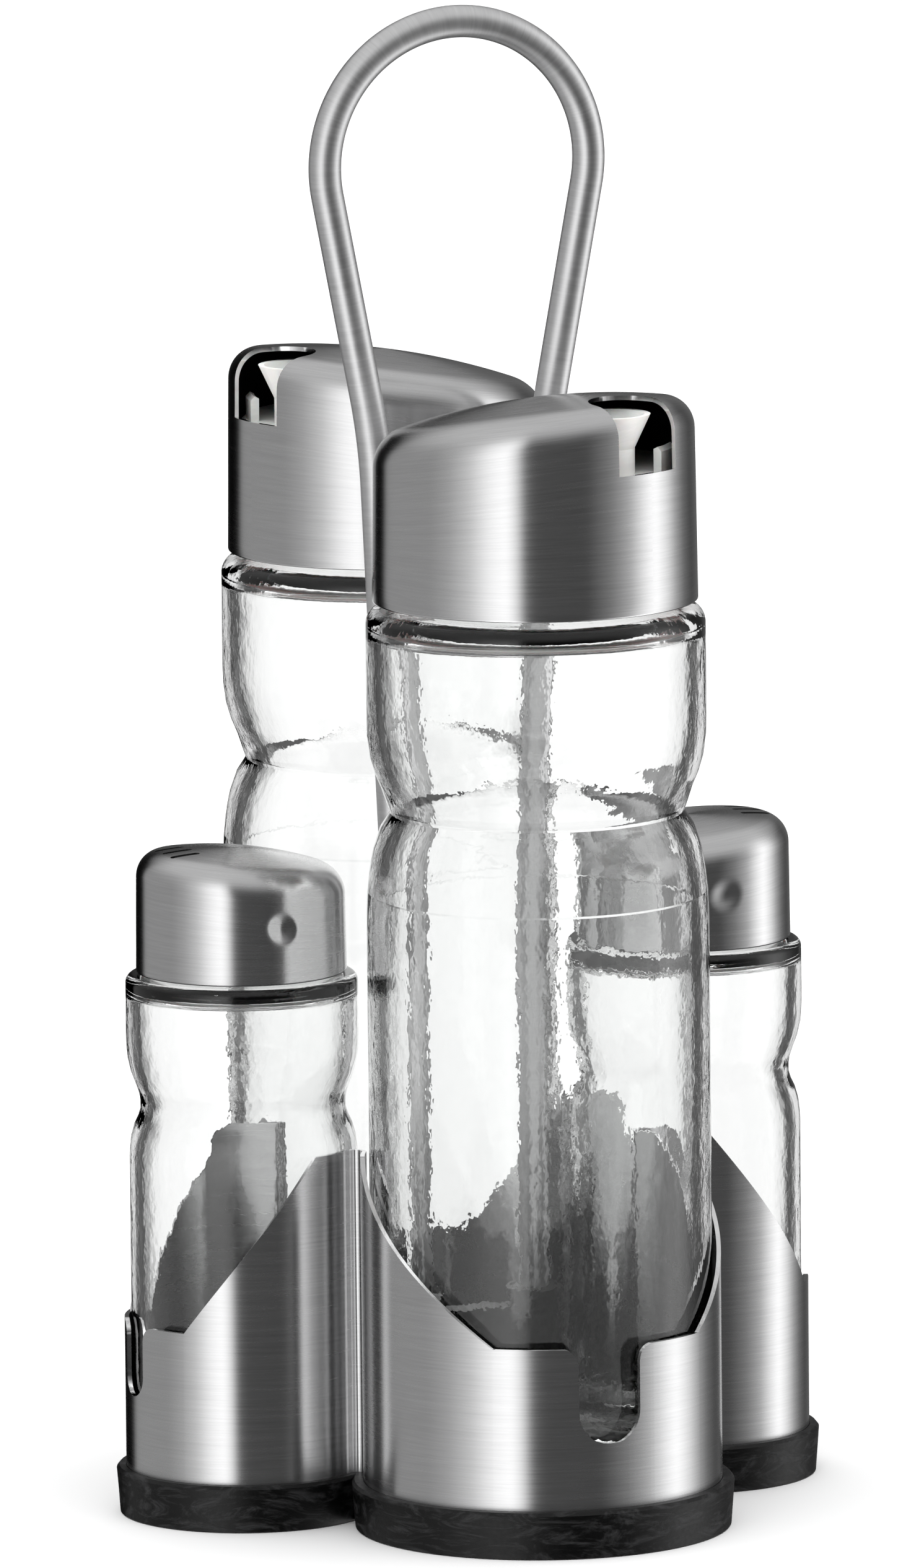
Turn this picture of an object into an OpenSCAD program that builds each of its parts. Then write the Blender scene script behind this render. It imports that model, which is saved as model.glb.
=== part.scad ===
// Four-piece cruet set in a cloverleaf stand with a lifting loop.
// Frame: origin at the middle of the base underside, +Z up, millimetres.
// Oil cruet sits at -Y, vinegar cruet at +Y, salt at -X, pepper at +X.

/* [Which piece] */
// Piece to draw

/* [Layout] */
// Distance of each cruet from the middle of the stand
cruet_offset = 36; // [34:0.1:40]
// Distance of each shaker from the middle of the stand
shaker_offset = 44.3; // [42:0.1:48]

/* [Base tray] */
// Radius of the two large discs of the tray
big_disc_r = 35.2; // [34:0.1:38]
// Radius of the two small discs of the tray
small_disc_r = 24.1; // [23:0.1:27]
// Height of the tray rim
rim_h = 8.6; // [6:0.1:12]
// Thickness of the tray floor
floor_t = 3; // [2:0.1:5]
// Height of the cup floor ledge the vessels stand on
seat_z = 4.2; // [3.5:0.1:6]

/* [Cup walls] */
// Outside radius of the large cups
big_cup_r = 33; // [32:0.1:35]
// Outside radius of the small cups
small_cup_r = 22.3; // [21.5:0.1:24]
// Thickness of the sheet steel
sheet = 0.8; // [0.5:0.1:1.5]
// Height of the wall at the peaks between cups
peak_z = 68.8; // [60:0.1:75]
// Height of the low edge of the large cups
big_low_z = 38.4; // [30:0.1:45]
// Height of the low edge of the small cups
small_low_z = 36.4; // [30:0.1:45]
// Width of the large finger notch
big_notch_w = 12.1; // [8:0.1:16]
// Depth of the large finger notch
big_notch_d = 17.9; // [10:0.1:24]
// Width of the small finger notch
small_notch_w = 8; // [6:0.1:12]
// Depth of the small finger notch
small_notch_d = 13.6; // [8:0.1:20]

/* [Handle] */
// Diameter of the bent rod
rod_d = 6; // [5:0.5:8]
// Height of the top of the loop
loop_top_z = 277; // [260:0.5:290]
// Centre line radius of the loop
loop_r = 26.1; // [20:0.1:30]
// Half spacing of the legs at the socket
leg_half = 13.2; // [11:0.1:15]
// Height of the top of the plastic socket
socket_top_z = 37.6; // [25:0.1:45]

/* [Cruets] */
// Radius of the glass body of a cruet
cruet_r = 31.4; // [30:0.1:31.9]
// Radius of the glass at the waist groove
cruet_waist_r = 26.9; // [24:0.1:29]
// Radius of the glass bulge above the waist
cruet_bulge_r = 31.1; // [30:0.1:32]
// Height of the lower edge of the cruet cap
cruet_cap_z = 171.7; // [165:0.1:180]
// Radius of the cruet cap at its lower edge
cruet_cap_r = 29.8; // [28:0.1:31]
// Height of the middle of the cruet cap top
cruet_top_z = 208.9; // [200:0.1:215]
// Slant of the cruet cap top, rise over run
cruet_slant = 0.16; // [0:0.01:0.25]
// Width of the pouring window
window_w = 14.8; // [10:0.1:18]
// Height of the sill of the pouring window
window_z = 197.6; // [190:0.1:202]
// Direction of the oil spout around its bottle
oil_turn = -66; // [-180:1:180]
// Direction of the vinegar spout around its bottle
vinegar_turn = -170; // [-180:1:180]

/* [Shakers] */
// Radius of the glass body of a shaker
shaker_r = 21; // [20:0.1:21.2]
// Radius of the glass at the waist groove
shaker_waist_r = 18.9; // [16:0.1:20]
// Radius of the glass bulge above the waist
shaker_bulge_r = 21.4; // [20:0.1:22]
// Height of the lower edge of the shaker cap
shaker_cap_z = 100.8; // [95:0.1:106]
// Radius of the shaker cap at its lower edge
shaker_cap_r = 19.4; // [18:0.1:20]
// Height of the middle of the shaker cap top
shaker_top_z = 123.6; // [118:0.1:130]
// Slant of the shaker cap top, rise over run
shaker_slant = 0.1; // [0:0.01:0.2]
// Length of a sprinkling slot between its end centres
slot_l = 4.4; // [3:0.1:8]
// Distance of the slots from the cap axis
slot_out = 12.4; // [9:0.1:13]
// Width of a sprinkling slot
slot_w = 1.3; // [1:0.1:2]
// Spacing of the sprinkling slots
slot_gap = 4; // [3:0.1:6]
// Diameter of the crimp dimple in a shaker cap
dimple_d = 6.4; // [4:0.1:8]

/* [Hidden] */
$fn = 96;
eps = 0.01;
big = 200;

// places of the four vessels
oil_at = [0, -cruet_offset, 0];
vin_at = [0, cruet_offset, 0];
salt_at = [-shaker_offset, 0, 0];
pep_at = [shaker_offset, 0, 0];

// fold between neighbouring cups: a circle touching both cup circles
fold_r = 1.4;
cup_gap = sqrt(cruet_offset * cruet_offset + shaker_offset * shaker_offset);
fold_a = big_cup_r + fold_r;
fold_b = small_cup_r + fold_r;
fold_u = (fold_a * fold_a - fold_b * fold_b + cup_gap * cup_gap) / (2 * cup_gap);
fold_v = sqrt(fold_a * fold_a - fold_u * fold_u);
fold_x = (shaker_offset * fold_u + cruet_offset * fold_v) / cup_gap;
fold_y = cruet_offset - (cruet_offset * fold_u - shaker_offset * fold_v) / cup_gap;

// seats and clearances
glass_z = seat_z + 0.1;
floor_in = 2.4;
skin = 0.8;
screw_d = 3;
head_d = 5.6;
head_t = 1.6;
washer_d = 7.6;
washer_t = 0.5;
rod_foot_z = 8.4;

// closure of the cruets
neck_r = 24;
neck_in = 21;
neck_top = 192;
plug_r = 20.7;
groove_r = 18.4;
ring_z = 182;
ring_h = 4;
deck_z = 196.6;
deck_t = 2.2;
skirt_r = 28.3;
skirt_in = 24.4;
skirt_z = 186;
spout_x = 19.2;
spout_r = 4.5;
flare_r = 7.4;
flare_z = 201.4;
lip_z = 207.6;

// closure of the shakers
s_neck_r = 14.5;
s_neck_in = 11.5;
s_neck_top = 113.8;
liner_in = 14.8;
liner_r = 18.2;
liner_z = 101.5;
liner_top = 117.2;

// points on an arc, angles in degrees
function arc(cx, cy, r, a0, a1, n) =
    [for (i = [0 : n]) let(a = a0 + (a1 - a0) * i / n) [cx + r * cos(a), cy + r * sin(a)]];

// ---------- stand ----------

module four_discs(rb, rs) {
    translate([0, -cruet_offset]) circle(r = rb);
    translate([0, cruet_offset]) circle(r = rb);
    translate([-shaker_offset, 0]) circle(r = rs);
    translate([shaker_offset, 0]) circle(r = rs);
    square([2 * shaker_offset - 30, 40], center = true);
}

module four_cones(rb, rs, z0, z1, flare) {
    h = z1 - z0;
    for (s = [-1, 1]) {
        translate([0, s * cruet_offset, z0]) cylinder(h = h, r1 = rb, r2 = rb + flare);
        translate([s * shaker_offset, 0, z0]) cylinder(h = h, r1 = rs, r2 = rs + flare);
    }
}

module folds(r) {
    for (sx = [-1, 1])
        for (sy = [-1, 1])
            translate([sx * fold_x, sy * fold_y]) circle(r = r);
}

// outline of the wall: four cup circles, the middle filled, the folds cut in
module wall_line(inset) {
    difference() {
        union() {
            translate([0, -cruet_offset]) circle(r = big_cup_r - inset);
            translate([0, cruet_offset]) circle(r = big_cup_r - inset);
            translate([-shaker_offset, 0]) circle(r = small_cup_r - inset);
            translate([shaker_offset, 0]) circle(r = small_cup_r - inset);
            polygon([
                [0, -cruet_offset], [fold_x, -fold_y],
                [shaker_offset, 0], [fold_x, fold_y],
                [0, cruet_offset], [-fold_x, fold_y],
                [-shaker_offset, 0], [-fold_x, -fold_y]]);
        }
        folds(fold_r + inset);
    }
}

module screw_places() {
    for (s = [-1, 1])
        translate([s * leg_half, 0, 0])
            children();
}

module base_tray() {
    color([0.08, 0.08, 0.09])
    difference() {
        union() {
            four_cones(big_disc_r - 0.6, small_disc_r - 0.6, 0, rim_h - 0.6, 0.6);
            four_cones(big_disc_r, small_disc_r, rim_h - 0.6, rim_h, -0.5);
            translate([0, 0, rim_h / 2])
                cube([60, 40, rim_h], center = true);
        }
        // well inside the rim, down to the floor the wall stands on
        translate([0, 0, floor_in])
            linear_extrude(height = 20)
                union() {
                    wall_line(-0.1);
                    square([30, 30], center = true);
                }
        // hollow underside under each vessel
        for (s = [-1, 1]) {
            translate([0, s * cruet_offset, -1]) cylinder(h = 2.2, r = 26);
            translate([s * shaker_offset, 0, -1]) cylinder(h = 2.2, r = 17);
        }
        screw_places() {
            translate([0, 0, -1]) cylinder(h = 20, d = screw_d + 0.4);
            translate([0, 0, -1]) cylinder(h = 3.4, d = washer_d + 0.6);
        }
    }
}

module seats() {
    for (s = [-1, 1]) {
        translate([0, s * cruet_offset, floor_in - 0.2])
            difference() {
                cylinder(h = seat_z - floor_in + 0.2, r = 30.4);
                translate([0, 0, 1]) cylinder(h = 10, r = 24);
            }
        translate([s * shaker_offset, 0, floor_in - 0.2])
            difference() {
                cylinder(h = seat_z - floor_in + 0.2, r = 19.8);
                translate([0, 0, 1]) cylinder(h = 10, r = 15);
            }
    }
    // boss the handle socket stands on
    difference() {
        translate([-20, -3.8, floor_in - 0.2])
            cube([40, 7.6, seat_z - floor_in + 0.2]);
        screw_places() {
            cylinder(h = 20, d = screw_d + 0.4);
            translate([0, 0, -1]) cylinder(h = 3.4, d = washer_d + 0.6);
        }
    }
}

module tray() {
    union() {
        base_tray();
        color([0.08, 0.08, 0.09]) seats();
    }
}

function rise(lo, hi, a, a0, a1) = lo + (hi - lo) * (a - a0) / (a1 - a0);

// side outline of what is cut away above a cup wall, from its outward side
module over_wall(off, r, lo, a0, a1) {
    n = 5;
    polygon(concat(
        [[-big, lo]],
        [for (i = [0 : n])
            let(a = a0 + (a1 - a0) * i / n)
            [-off - r * cos(a), rise(lo, peak_z, a, a0, a1)]],
        [[-off - r * cos(a1), big], [-big, big]]));
}

module notch(w, z, d) {
    // U notch, seen from outside, open upwards
    translate([0, 0, z - d + w / 2])
        rotate([90, 0, 0])
            cylinder(h = 12, d = w, center = true);
    translate([-w / 2, -6, z - d + w / 2])
        cube([w, 12, d]);
}

module holder_wall() {
    color([0.72, 0.73, 0.75])
    difference() {
        translate([0, 0, floor_in + 0.1])
            linear_extrude(height = peak_z - floor_in - 0.1)
                difference() {
                    wall_line(0);
                    wall_line(sheet);
                }
        // slanting edges of the large cups
        for (s = [0, 180])
            rotate([0, 0, s + 90])
                rotate([90, 0, 0])
                    translate([0, 0, -60])
                        linear_extrude(height = 120)
                            over_wall(cruet_offset, big_cup_r, big_low_z, 38, 111);
        // slanting edges of the small cups
        for (s = [0, 180])
            rotate([0, 0, s])
                rotate([90, 0, 0])
                    translate([0, 0, -40])
                        linear_extrude(height = 80)
                            over_wall(shaker_offset, small_cup_r, small_low_z, 38, 105);
        // finger notches
        for (s = [0, 180]) {
            rotate([0, 0, s])
                translate([0, -cruet_offset - big_cup_r, 0])
                    notch(big_notch_w, big_low_z, big_notch_d);
            rotate([0, 0, s + 90])
                translate([0, shaker_offset + small_cup_r, 0])
                    notch(small_notch_w, small_low_z, small_notch_d);
        }
    }
}

// ---------- handle ----------

module handle_socket() {
    h = socket_top_z - seat_z - 0.1;
    color([0.08, 0.08, 0.09])
    difference() {
        translate([0, 0, seat_z + 0.1])
            union() {
                screw_places()
                    cylinder(h = h, r1 = 5.9, r2 = 5.4);
                translate([-leg_half, -2.6, 0])
                    cube([2 * leg_half, 5.2, h - 3]);
            }
        screw_places() {
            translate([0, 0, rod_foot_z]) cylinder(h = 60, d = rod_d + 0.1);
            cylinder(h = 60, d = screw_d + 0.4);
        }
    }
}

loop_z = loop_top_z - rod_d / 2 - loop_r;
bend_top = 10.85;
bend_low = 2.48;

// right leg: straight runs with gentle bends between them
tan_pt = [loop_r * cos(bend_top), loop_z - loop_r * sin(bend_top)];
low_pt = [leg_half, 112];
knee_z = (tan_pt[0] - tan(bend_top) * tan_pt[1] - low_pt[0] + tan(bend_low) * low_pt[1])
    / (tan(bend_low) - tan(bend_top));
knee = [low_pt[0] + tan(bend_low) * (knee_z - low_pt[1]), knee_z];
knee_a = knee - 9 * [sin(bend_low), cos(bend_low)];
knee_b = knee + 9 * [sin(bend_top), cos(bend_top)];

// straight run from p to q
module rod_run(p, q) {
    d = q - p;
    translate([p[0], 0, p[1]])
        rotate([0, atan2(d[0], d[1]), 0])
            cylinder(h = norm(d), d = rod_d);
}

// ball that fills a gentle bend
module rod_knee(p) {
    translate([p[0], 0, p[1]])
        sphere(d = rod_d + 0.06);
}

module rod_bend(c, r, a, sweep) {
    translate([c[0], 0, c[1]])
        rotate([90, 0, 0])
            rotate([0, 0, a])
                rotate_extrude(angle = sweep)
                    translate([r, 0])
                        circle(d = rod_d);
}

module leg() {
    rod_run([leg_half, rod_foot_z], low_pt);
    rod_knee(low_pt);
    rod_run(low_pt, knee_a);
    rod_knee(knee_a);
    rod_run(knee_a, knee_b);
    rod_knee(knee_b);
    rod_run(knee_b, tan_pt);
    rod_knee(tan_pt);
}

module handle_loop() {
    color([0.8, 0.81, 0.83])
    difference() {
        union() {
            rod_bend([0, loop_z], loop_r, -bend_top, 180 + 2 * bend_top);
            leg();
            rotate([0, 0, 180]) leg();
        }
        screw_places()
            cylinder(h = rod_foot_z + 11, d = screw_d);
    }
}

module handle_screws() {
    color([0.5, 0.5, 0.52])
    screw_places() {
        translate([0, 0, 0.3])
            difference() {
                cylinder(h = head_t, d = head_d);
                translate([0, 0, -0.1]) cylinder(h = 1, d = 2.6, $fn = 6);
            }
        translate([0, 0, 0.3 + head_t])
            cylinder(h = rod_foot_z + 8 - 0.3 - head_t, d = screw_d - 0.04);
    }
}

module handle_washers() {
    color([0.7, 0.7, 0.7])
    screw_places()
        translate([0, 0, 0.3 + head_t])
            difference() {
                cylinder(h = washer_t - 0.02, d = washer_d);
                translate([0, 0, -1]) cylinder(h = 4, d = screw_d + 0.3);
            }
}

// ---------- cruets ----------

module cruet_glass() {
    w = cruet_waist_r;
    b = cruet_bulge_r;
    r = cruet_r;
    color([0.85, 0.92, 0.92])
    rotate_extrude()
        polygon(concat(
            [[0, glass_z + 1.5], [22, glass_z + 1.5], [26, glass_z]],
            arc(r - 4, glass_z + 4, 4, -90, 0, 4),
            [[r, 112.5], [r - 0.2, 118], [r - 0.6, 121.8], [r - 1.4, 126.2], [r - 2.7, 129.9],
            [w + 0.4, 132], [w, 132.9], [w + 0.4, 133.9],
            [b - 2.6, 137.4], [b - 1.5, 140], [b - 0.6, 143], [b - 0.1, 146.8], [b, 150]],
            arc(b - 3.4, 167.4, 3.4, 0, 75, 4),
            [[26.6, 170.9], [neck_r, 171.1], [neck_r, neck_top], [neck_in, neck_top],
            [neck_in, 170], [22.8, 168]],
            arc(b - 6, 164.5, 3, 75, 0, 3),
            [[b - 3, 151], [b - 3.9, 143], [b - 5.1, 139.4], [w - 2.4, 136.2],
            [w - 3.4, 132.9], [w - 2.4, 129.6], [r - 5.2, 126.2], [r - 4, 121.8],
            [r - 3.3, 116], [r - 3.2, 112]],
            arc(r - 8.2, glass_z + 13, 5, 0, -70, 4),
            [[16, glass_z + 7.6], [0, glass_z + 7]]));
}

// outline of a domed cap before it is slanted; it opens out below the shoulder
function cap_lean(rt, dome, round) = asin((rt - round) / (dome - round));
function cap_mid(rt, top, dome, round) =
    top - dome + (dome - round) * cos(cap_lean(rt, dome, round));
function cap_line(rt, top, dome, round) =
    let(
        a = cap_lean(rt, dome, round),
        cz = cap_mid(rt, top, dome, round))
    concat(
        [[0, cz - 60], [rt + 20, cz - 60]],
        arc(rt - round, cz, round, 0, 90 - a, 6),
        [for (i = [1 : 5]) let(t = a * (1 - i / 5)) [dome * sin(t), top - dome + dome * cos(t)]]);

module cap_body(r, z0, top, dome, round, draft, slope, inset) {
    rt = r - draft + 0.25;
    cz = cap_mid(rt, top, dome, round);
    intersection() {
        translate([0, 0, z0 - (inset > 0 ? 1 : 0)])
            cylinder(h = 60, r1 = r - inset, r2 = r - inset - draft);
        translate([0, 0, cz])
            rotate([0, -atan(slope), 0])
                translate([0, 0, -cz])
                    rotate_extrude()
                        polygon(cap_line(rt - inset, top - inset, dome - inset, round - inset));
    }
}

module cruet_cap_shell() {
    color([0.75, 0.76, 0.78])
    difference() {
        cap_body(cruet_cap_r, cruet_cap_z, cruet_top_z, 120, 7, 0.4, cruet_slant, 0);
        cap_body(cruet_cap_r, cruet_cap_z, cruet_top_z, 120, 7, 0.4, cruet_slant, skin);
        translate([24, 0, window_z])
            cylinder(h = 40, d = window_w);
        translate([24, -window_w / 2, window_z])
            cube([20, window_w, 40]);
    }
}

module cruet_pourer() {
    color([0.94, 0.94, 0.92])
    difference() {
        union() {
            rotate_extrude()
                polygon([
                    [plug_r - 2.4, 175], [plug_r - 0.6, 175], [plug_r, 177],
                    [plug_r, ring_z], [groove_r + 0.3, ring_z],
                    [groove_r + 0.3, ring_z + ring_h], [plug_r, ring_z + ring_h],
                    [plug_r, neck_top + 0.2], [skirt_in, neck_top + 0.2],
                    [skirt_in, skirt_z], [skirt_r, skirt_z],
                    [skirt_r, deck_z - 3.2], [skirt_r - 0.9, deck_z - 1],
                    [skirt_r - 1.9, deck_z],
                    [0, deck_z], [0, deck_z - deck_t], [plug_r - 4.4, deck_z - deck_t],
                    [plug_r - 4.4, ring_z - 1], [plug_r - 2.4, ring_z - 2]]);
            translate([spout_x, 0, deck_z - deck_t])
                cylinder(h = flare_z - deck_z + deck_t, r = spout_r);
            translate([spout_x, 0, flare_z - eps])
                cylinder(h = lip_z - flare_z, r1 = spout_r, r2 = flare_r);
            for (s = [16, -32])
                rotate([0, 0, s])
                    rotate_extrude(angle = 16)
                        polygon([[24.6, deck_z - 0.5], [26.2, deck_z - 0.5],
                            [26.2, 200.4], [25.4, 201.2], [24.6, 200.8]]);
        }
        // bore of the spout, sloped inside the flare
        translate([spout_x - 2.6, 0, deck_z - 8])
            cylinder(h = 8.1, r = 2.2);
        translate([spout_x, 0, deck_z - 0.6])
            cylinder(h = 5.4, r = spout_r - 1.2);
        translate([spout_x, 0, deck_z + 4.7])
            cylinder(h = 6.4, r1 = spout_r - 1.2, r2 = flare_r - 1);
        // breather hole on the far side
        translate([-14, 0, deck_z - 6])
            cylinder(h = 10, r = 1.5);
    }
}

module cruet_seal_ring() {
    color([0.86, 0.87, 0.88])
    rotate_extrude()
        polygon([
            [groove_r + 0.6, ring_z + 0.3], [plug_r - 0.8, ring_z + 0.3],
            [plug_r - 0.1, ring_z + 1.2], [plug_r - 0.1, ring_z + ring_h - 1.2],
            [plug_r - 0.8, ring_z + ring_h - 0.3], [groove_r + 0.6, ring_z + ring_h - 0.3]]);
}

// ---------- shakers ----------

module shaker_glass() {
    w = shaker_waist_r;
    b = shaker_bulge_r;
    r = shaker_r;
    color([0.85, 0.92, 0.92])
    rotate_extrude()
        polygon(concat(
            [[0, glass_z + 1.2], [14, glass_z + 1.2], [17, glass_z]],
            arc(r - 3, glass_z + 3, 3, -90, 0, 4),
            [[r, 65], [r - 0.1, 68], [r - 0.4, 70.4], [r - 1, 72.4], [w + 0.3, 74.1],
            [w, 75.3], [w, 76.9], [w + 0.3, 78.3], [b - 1.7, 80.1], [b - 0.8, 82.3],
            [b - 0.2, 85], [b, 88]],
            arc(b - 1.6, 98.8, 1.6, 0, 80, 3),
            [[17, 100.4], [s_neck_r, 100.4], [s_neck_r, s_neck_top],
            [s_neck_in, s_neck_top], [s_neck_in, 99.6], [13, 98]],
            arc(b - 4.6, 95.6, 2, 75, 0, 3),
            [[b - 2.6, 88], [b - 2.9, 84.6], [b - 3.7, 81.4], [w - 2.2, 78.6], [w - 2.5, 76.1],
            [w - 2.2, 73.9], [r - 3.4, 70.6], [r - 2.7, 66.6], [r - 2.6, 62]],
            arc(r - 6.6, glass_z + 10, 4, 0, -70, 4),
            [[9, glass_z + 5.4], [0, glass_z + 5]]));
}

module shaker_gasket() {
    color([0.86, 0.87, 0.88])
    translate([0, 0, s_neck_top + 0.1])
        difference() {
            cylinder(h = 1.5, r = 14.4);
            translate([0, 0, -1]) cylinder(h = 4, r = 11.7);
        }
}

module shaker_cap_liner() {
    color([0.94, 0.94, 0.92])
    rotate_extrude()
        polygon([
            [liner_in, liner_z], [liner_r, liner_z], [liner_r, 112.6],
            [16.2, 115.2], [16.2, liner_top], [12, liner_top],
            [12, s_neck_top + 1.9], [liner_in, s_neck_top + 1.9]]);
}

module slots() {
    for (i = [-1, 0, 1])
        translate([slot_out - slot_l / 2, i * slot_gap, 117.5]) {
            translate([0, -slot_w / 2, 0]) cube([slot_l, slot_w, 12]);
            cylinder(h = 12, d = slot_w);
            translate([slot_l, 0, 0]) cylinder(h = 12, d = slot_w);
        }
}

module shaker_cap_shell(dimple) {
    color([0.75, 0.76, 0.78])
    difference() {
        cap_body(shaker_cap_r, shaker_cap_z, shaker_top_z, 70, 5.5, 0.2, shaker_slant, 0);
        cap_body(shaker_cap_r, shaker_cap_z, shaker_top_z, 70, 5.5, 0.2, shaker_slant, skin);
        slots();
        // crimp dimple pressed into the skirt
        rotate([0, 0, dimple])
            translate([shaker_cap_r + sqrt(100 - dimple_d * dimple_d / 4), 0, shaker_cap_z + 10.4])
                sphere(r = 10);
    }
}

module put(at, turn) {
    translate(at)
        rotate([0, 0, turn])
            children();
}

tray();  // base_tray
holder_wall();
handle_socket();
handle_loop();
handle_screws();
handle_washers();
put(oil_at, 0) cruet_glass();  // oil_bottle
put(oil_at, oil_turn) cruet_pourer();  // oil_pourer
put(oil_at, 0) cruet_seal_ring();  // oil_seal_ring
put(oil_at, oil_turn) cruet_cap_shell();  // oil_cap_shell
put(vin_at, 0) cruet_glass();  // vinegar_bottle
put(vin_at, vinegar_turn) cruet_pourer();  // vinegar_pourer
put(vin_at, 0) cruet_seal_ring();  // vinegar_seal_ring
put(vin_at, vinegar_turn) cruet_cap_shell();  // vinegar_cap_shell
put(salt_at, 0) shaker_glass();  // salt_bottle
put(salt_at, 0) shaker_gasket();  // salt_gasket
put(salt_at, 0) shaker_cap_liner();  // salt_cap_liner
put(salt_at, 180) shaker_cap_shell(92);  // salt_cap_shell
put(pep_at, 0) shaker_glass();  // pepper_bottle
put(pep_at, 0) shaker_gasket();  // pepper_gasket
put(pep_at, 0) shaker_cap_liner();  // pepper_cap_liner
put(pep_at, 0) shaker_cap_shell(-90);  // pepper_cap_shell
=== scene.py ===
import math

import bmesh
import bpy
from mathutils import Matrix, Vector


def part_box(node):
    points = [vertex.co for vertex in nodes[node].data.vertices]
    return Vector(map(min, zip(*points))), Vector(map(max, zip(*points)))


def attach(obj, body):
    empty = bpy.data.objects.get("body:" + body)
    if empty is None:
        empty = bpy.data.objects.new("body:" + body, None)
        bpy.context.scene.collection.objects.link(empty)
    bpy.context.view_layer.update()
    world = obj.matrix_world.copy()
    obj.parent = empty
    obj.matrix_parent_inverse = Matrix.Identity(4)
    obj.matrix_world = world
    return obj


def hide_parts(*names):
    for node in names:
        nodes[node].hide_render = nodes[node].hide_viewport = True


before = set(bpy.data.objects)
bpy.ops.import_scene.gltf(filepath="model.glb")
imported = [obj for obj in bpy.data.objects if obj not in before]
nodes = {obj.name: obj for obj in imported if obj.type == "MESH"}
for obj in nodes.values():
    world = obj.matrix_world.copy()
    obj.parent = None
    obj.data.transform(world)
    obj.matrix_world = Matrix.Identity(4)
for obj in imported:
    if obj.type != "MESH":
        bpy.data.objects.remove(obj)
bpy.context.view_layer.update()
scene = bpy.context.scene
MM = 0.001

# ---------------------------------------------------------------- driving sizes, mm and degrees
SHEET = 0.8
BIG_CUP_R = 33.0
SMALL_CUP_R = 22.3
FOLD_R = 1.4
PEAK_FLAT = 38.0
NOTCH_LIP_R = 3.0
ROD_R = 3.0
LEG_HALF = 13.2
LEG_BEND_Z = 112
LEG_LEAN = math.radians(2.48)
LEG_BEND_R = 150
LOOP_LEAN = math.radians(10.85)
LOOP_BEND_R = 120
OIL_TURN = -66
VINEGAR_TURN = -170


# ---------------------------------------------------------------- materials
def new_mat(name):
    m = bpy.data.materials.new(name)
    m.use_nodes = True
    nt = m.node_tree
    nt.nodes.clear()
    out = nt.nodes.new("ShaderNodeOutputMaterial")
    b = nt.nodes.new("ShaderNodeBsdfPrincipled")
    nt.links.new(b.outputs[0], out.inputs[0])
    return m, nt, b


def noise(nt, vec, scale, detail=3.0, rough=0.55, dist=0.0):
    n = nt.nodes.new("ShaderNodeTexNoise")
    n.inputs["Scale"].default_value = scale
    n.inputs["Detail"].default_value = detail
    n.inputs["Roughness"].default_value = rough
    n.inputs["Distortion"].default_value = dist
    nt.links.new(vec, n.inputs["Vector"])
    return n.outputs[0]


def coords(nt, kind, scale):
    t = nt.nodes.new("ShaderNodeTexCoord")
    m = nt.nodes.new("ShaderNodeMapping")
    m.inputs["Scale"].default_value = scale
    nt.links.new(t.outputs[kind], m.inputs["Vector"])
    return m.outputs[0]


def ramp(nt, fac, stops):
    r = nt.nodes.new("ShaderNodeValToRGB")
    cr = r.color_ramp
    while len(cr.elements) < len(stops):
        cr.elements.new(0.5)
    for e, (p, c) in zip(cr.elements, stops):
        e.position = p
        e.color = c if len(c) == 4 else (*c, 1)
    nt.links.new(fac, r.inputs[0])
    return r.outputs[0]


def math_node(nt, op, a, b):
    n = nt.nodes.new("ShaderNodeMath")
    n.operation = op
    for i, v in enumerate((a, b)):
        if isinstance(v, (int, float)):
            n.inputs[i].default_value = v
        else:
            nt.links.new(v, n.inputs[i])
    return n.outputs[0]


def weighed(nt, a, share_a, b, share_b):
    """Sum of two values, each times its share."""
    return math_node(nt, "ADD", math_node(nt, "MULTIPLY", a, share_a), math_node(nt, "MULTIPLY", b, share_b))


def bump(nt, bsdf, height, dist, strength):
    n = nt.nodes.new("ShaderNodeBump")
    n.inputs["Distance"].default_value = dist
    n.inputs["Strength"].default_value = strength
    nt.links.new(height, n.inputs["Height"])
    nt.links.new(n.outputs[0], bsdf.inputs["Normal"])


def grey(v):
    return (v, v, v * 1.005, 1)


def brushed(name, shades, rough, aniso, along=26.0, across=2600.0, depth=0.00002, uv=True):
    """Steel brushed along U: fine streaks, a few coarse ones, slow smudges."""
    m, nt, b = new_mat(name)
    kind = "UV" if uv else "Object"
    fine = noise(nt, coords(nt, kind, (along * 3, across, across)), 1.0, 3.0, 0.65)
    coarse = noise(nt, coords(nt, kind, (along, across * 0.3, across * 0.3)), 1.0, 2.0)
    smudge = noise(nt, coords(nt, "Object", (38, 38, 30)), 1.0, 3.0, 0.6, 0.4)
    streaks = weighed(nt, fine, 0.7, coarse, 0.3)
    lo, hi = shades
    nt.links.new(ramp(nt, streaks, [(0.3, grey(lo)), (0.7, grey(hi))]), b.inputs["Base Color"])
    wear = weighed(nt, streaks, 0.6, smudge, 0.4)
    lo, hi = rough
    nt.links.new(ramp(nt, wear, [(0.3, grey(lo)), (0.72, grey(hi))]), b.inputs["Roughness"])
    b.inputs["Metallic"].default_value = 1.0
    b.inputs["Anisotropic"].default_value = aniso
    b.inputs["Anisotropic Rotation"].default_value = 0.25
    if uv:
        t = nt.nodes.new("ShaderNodeTangent")
        t.direction_type = "UV_MAP"
        t.uv_map = "UVMap"
        nt.links.new(t.outputs[0], b.inputs["Tangent"])
    bump(nt, b, streaks, depth, 0.5)
    return m


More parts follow.
